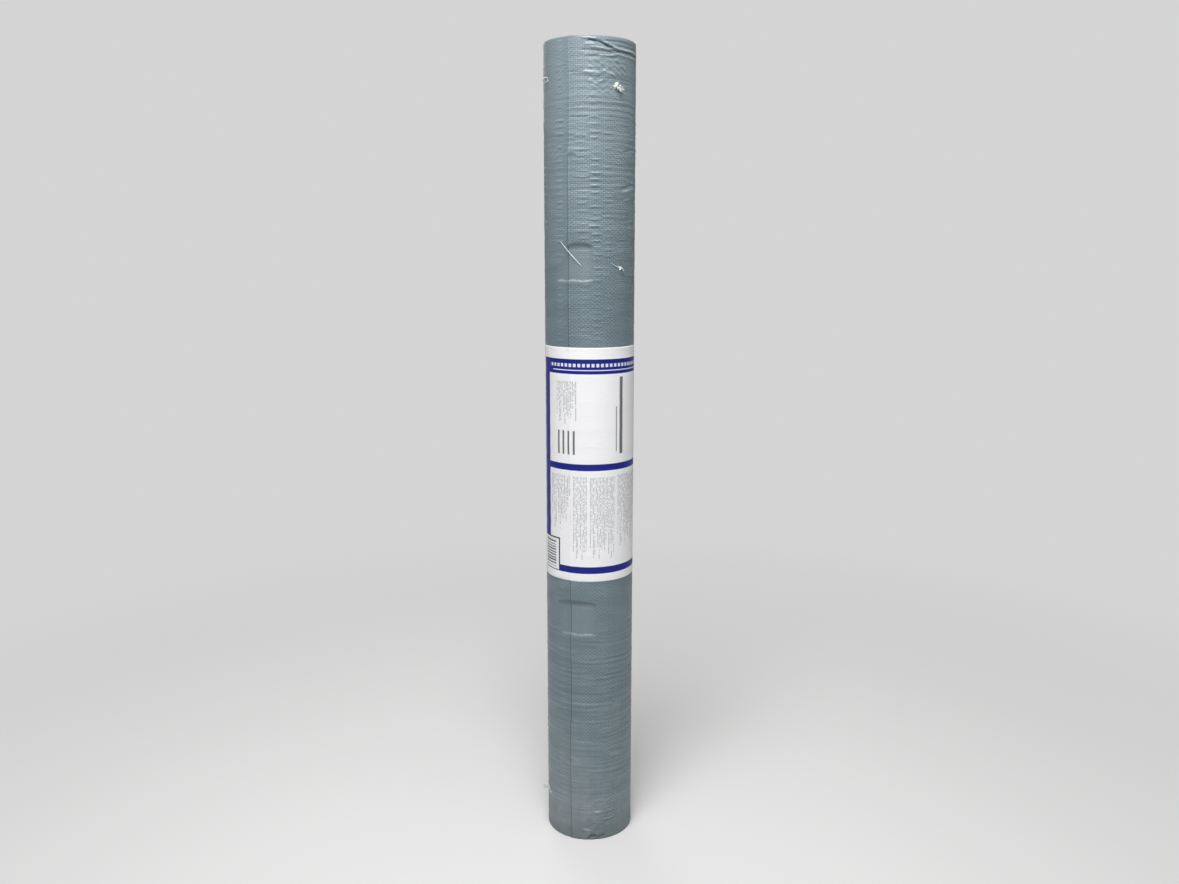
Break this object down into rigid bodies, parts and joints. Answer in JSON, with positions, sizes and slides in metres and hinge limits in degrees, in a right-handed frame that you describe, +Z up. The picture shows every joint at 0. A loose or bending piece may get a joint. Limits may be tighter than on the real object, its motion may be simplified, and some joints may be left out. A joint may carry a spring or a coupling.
{
  "type": "roll of roofing underlayment",
  "caption": "Roll of woven synthetic roofing underlayment standing on end, with a wrapped paper label, a free tail edge and an open bore.",
  "frame": {"origin": "centre of the bore at the lower end, on the floor that the roll stands on", "axes": "+Z up along the roll's axis and bore; -Y towards the side that the label's front and the sheet's tail are on"},
  "size_m": [0.1356, 0.1357, 1.219],
  "materials": {
    "underlayment": "woven, satin",
    "label_paper": "smooth, printed with plain blue bands"
  },
  "bodies": {
    "root": {"underlayment_roll": "underlayment", "paper_label": "label_paper"}
  },
  "joints": []
}
